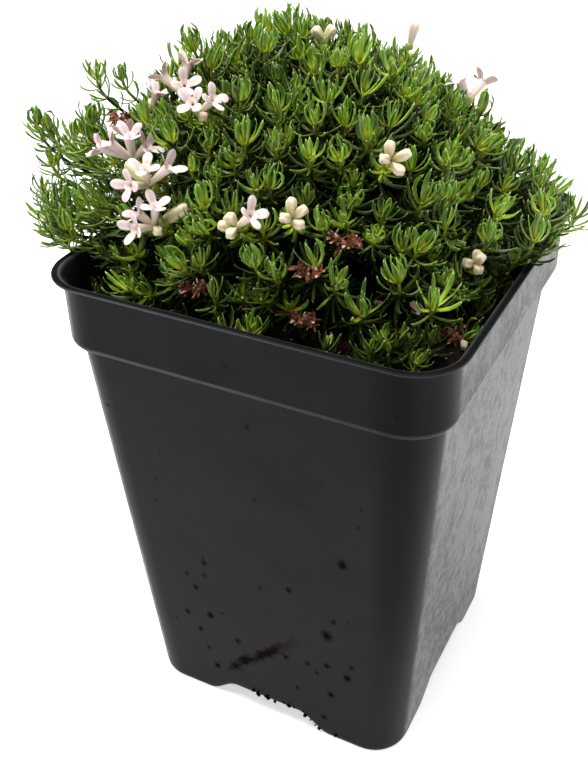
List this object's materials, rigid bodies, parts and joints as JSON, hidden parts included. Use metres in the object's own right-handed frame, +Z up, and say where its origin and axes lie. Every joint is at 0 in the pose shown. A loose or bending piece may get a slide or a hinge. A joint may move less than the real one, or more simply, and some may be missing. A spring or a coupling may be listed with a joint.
{
  "type": "potted asperula gussonii",
  "caption": "Low cushion of small-leaved woodruff with clusters of pale pink tubular flowers, growing over the rim of a tall square black nursery pot.",
  "frame": {"origin": "middle of the whole plant and pot in plan, on the ground plane that the pot's four corner feet stand on", "axes": "+Z up, -Y towards the broad dark side of the pot that faces the viewer, +X to the viewer's right"},
  "size_m": [0.1156, 0.093, 0.1627],
  "materials": {
    "pot_plastic": "black moulded polypropylene, satin, dusty",
    "compost": null,
    "bark": "brown woody crown and root",
    "leaf_green": null,
    "petal_pink": null,
    "spent_brown": "papery red-brown dead flowers"
  },
  "bodies": {
    "root": {"pot": "pot_plastic", "soil": "compost", "woody_crown": "bark", "leafy_stem_01": "leaf_green", "leafy_stem_02": "leaf_green", "leafy_stem_03": "leaf_green", "leafy_stem_04": "leaf_green", "leafy_stem_05": "leaf_green", "leafy_stem_06": "leaf_green", "leafy_stem_07": "leaf_green", "leafy_stem_08": "leaf_green", "leafy_stem_09": "leaf_green", "leafy_stem_10": "leaf_green", "leafy_stem_11": "leaf_green", "leafy_stem_12": "leaf_green", "leafy_stem_13": "leaf_green", "leafy_stem_14": "leaf_green", "leafy_stem_15": "leaf_green", "leafy_stem_16": "leaf_green", "leafy_stem_17": "leaf_green", "leafy_stem_18": "leaf_green", "leafy_stem_19": "leaf_green", "leafy_stem_20": "leaf_green", "leafy_stem_21": "leaf_green", "leafy_stem_22": "leaf_green", "leafy_stem_23": "leaf_green", "leafy_stem_24": "leaf_green", "leafy_stem_25": "leaf_green", "leafy_stem_26": "leaf_green", "leafy_stem_27": "leaf_green", "leafy_stem_28": "leaf_green", "leafy_stem_29": "leaf_green", "leafy_stem_30": "leaf_green", "leafy_stem_31": "leaf_green", "leafy_stem_32": "leaf_green", "leafy_stem_33": "leaf_green", "leafy_stem_34": "leaf_green", "leafy_stem_35": "leaf_green", "leafy_stem_36": "leaf_green", "flower_head_01": "petal_pink", "flower_head_02": "petal_pink", "flower_head_03": "petal_pink", "flower_head_04": "petal_pink", "flower_head_05": "petal_pink", "flower_head_06": "petal_pink", "flower_head_07": "petal_pink", "flower_head_08": "petal_pink", "flower_head_09": "petal_pink", "flower_head_10": "petal_pink", "flower_head_11": "petal_pink", "flower_head_12": "petal_pink", "flower_head_13": "petal_pink", "dead_head_01": "spent_brown", "dead_head_02": "spent_brown", "dead_head_03": "spent_brown", "dead_head_04": "spent_brown", "dead_head_05": "spent_brown", "fallen_husks": "spent_brown"}
  },
  "joints": []
}
